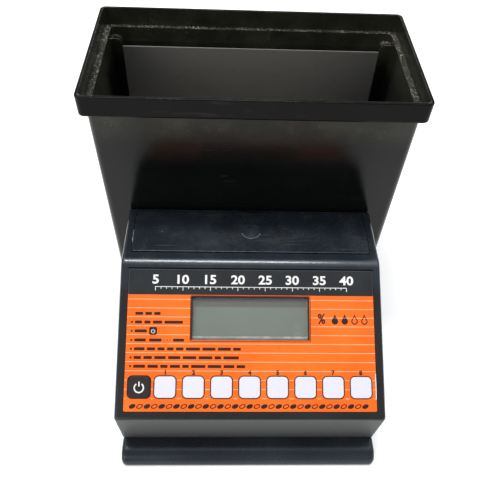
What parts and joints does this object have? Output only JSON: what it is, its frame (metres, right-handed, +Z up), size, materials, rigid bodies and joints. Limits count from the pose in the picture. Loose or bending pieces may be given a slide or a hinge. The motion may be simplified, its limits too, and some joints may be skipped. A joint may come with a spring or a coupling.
{
  "type": "grain moisture meter",
  "caption": "Bench grain moisture meter: sloping console with display, numbered keys and battery door, in front of an open rectangular measuring cell with a widened collar and steel plates.",
  "frame": {"origin": "bottom centre of the bounding box, on the surface the instrument stands on", "axes": "+Z up, +Y from the keypad console towards the measuring cell, +X to the operator's right"},
  "size_m": [0.216, 0.254, 0.1937],
  "materials": {
    "cell_plastic": "glossy black ABS",
    "housing_plastic": "semi-gloss black ABS, fine texture",
    "base_plastic": "satin black ABS",
    "door_plastic": "satin black ABS with scuffs",
    "stainless": "brushed stainless sheet",
    "overlay_print": "printed polyester, satin",
    "clear_window": "clear acrylic",
    "lcd": "grey-green reflective display",
    "white_plastic": "natural nylon",
    "elastomer": "soft silicone",
    "dark_key": "satin",
    "white_key": "satin",
    "circuit_board": "solder mask green",
    "plated_steel": "zinc or nickel plated",
    "switch_plastic": "moulded",
    "chip_epoxy": "moulded epoxy",
    "capacitor_sleeve": "shrink sleeve",
    "crystal_can": "drawn can",
    "holder_plastic": "moulded",
    "cell_label": "printed sleeve",
    "foot_rubber": "matte",
    "lead_red": "soft PVC",
    "lead_black": "soft PVC"
  },
  "bodies": {
    "instrument": {"aa_cells": "cell_label", "base_plate": "base_plastic", "battery_connector": "white_plastic", "battery_contacts": "plated_steel", "battery_holder": "holder_plastic", "battery_lead_negative": "lead_black", "battery_lead_positive": "lead_red", "battery_springs": "plated_steel", "board_screws": "plated_steel", "capacitors": "capacitor_sleeve", "cell_screws": "plated_steel", "chip_socket": "chip_epoxy", "console_housing": "housing_plastic", "console_screws": "plated_steel", "controller_chip": "chip_epoxy", "crystal": "crystal_can", "display_window": "clear_window", "electrode_connector": "white_plastic", "electrode_front": "stainless", "electrode_lead_front": "lead_black", "electrode_lead_rear": "lead_red", "electrode_rear": "stainless", "holder_screws": "plated_steel", "lcd_contact_strips": "elastomer", "lcd_frame": "white_plastic", "lcd_glass": "lcd", "main_circuit_board": "circuit_board", "measuring_cell": "cell_plastic", "panel_overlay": "overlay_print", "rubber_feet": "foot_rubber", "switch_bodies": "switch_plastic"},
    "key_on_off_body": {"key_on_off": "dark_key", "switch_plunger_on_off": "switch_plastic"},
    "key_1_body": {"key_1": "white_key", "switch_plunger_1": "switch_plastic"},
    "key_2_body": {"key_2": "white_key", "switch_plunger_2": "switch_plastic"},
    "key_3_body": {"key_3": "white_key", "switch_plunger_3": "switch_plastic"},
    "key_4_body": {"key_4": "white_key", "switch_plunger_4": "switch_plastic"},
    "key_5_body": {"key_5": "white_key", "switch_plunger_5": "switch_plastic"},
    "key_6_body": {"key_6": "white_key", "switch_plunger_6": "switch_plastic"},
    "key_7_body": {"key_7": "white_key", "switch_plunger_7": "switch_plastic"},
    "key_8_body": {"key_8": "white_key", "switch_plunger_8": "switch_plastic"},
    "door_body": {"battery_door": "door_plastic"}
  },
  "joints": [
    {"name": "key_on_off_press", "type": "slide", "parent": "instrument", "child": "key_on_off_body", "axis": [0, 0.5, -0.866], "range_m": [0, 0.0005], "stiffness_N_per_m": 600, "springref_m": -0.002},
    {"name": "key_1_press", "type": "slide", "parent": "instrument", "child": "key_1_body", "axis": [0, 0.5, -0.866], "range_m": [0, 0.0005], "stiffness_N_per_m": 600, "springref_m": -0.002},
    {"name": "key_2_press", "type": "slide", "parent": "instrument", "child": "key_2_body", "axis": [0, 0.5, -0.866], "range_m": [0, 0.0005], "stiffness_N_per_m": 600, "springref_m": -0.002},
    {"name": "key_3_press", "type": "slide", "parent": "instrument", "child": "key_3_body", "axis": [0, 0.5, -0.866], "range_m": [0, 0.0005], "stiffness_N_per_m": 600, "springref_m": -0.002},
    {"name": "key_4_press", "type": "slide", "parent": "instrument", "child": "key_4_body", "axis": [0, 0.5, -0.866], "range_m": [0, 0.0005], "stiffness_N_per_m": 600, "springref_m": -0.002},
    {"name": "key_5_press", "type": "slide", "parent": "instrument", "child": "key_5_body", "axis": [0, 0.5, -0.866], "range_m": [0, 0.0005], "stiffness_N_per_m": 600, "springref_m": -0.002},
    {"name": "key_6_press", "type": "slide", "parent": "instrument", "child": "key_6_body", "axis": [0, 0.5, -0.866], "range_m": [0, 0.0005], "stiffness_N_per_m": 600, "springref_m": -0.002},
    {"name": "key_7_press", "type": "slide", "parent": "instrument", "child": "key_7_body", "axis": [0, 0.5, -0.866], "range_m": [0, 0.0005], "stiffness_N_per_m": 600, "springref_m": -0.002},
    {"name": "key_8_press", "type": "slide", "parent": "instrument", "child": "key_8_body", "axis": [0, 0.5, -0.866], "range_m": [0, 0.0005], "stiffness_N_per_m": 600, "springref_m": -0.002},
    {"name": "battery_door_swing", "type": "hinge", "parent": "instrument", "child": "door_body", "pos_m": [0, -0.02, 0.0985], "axis": [1, 0, 0], "range_deg": [0, 75]}
  ]
}
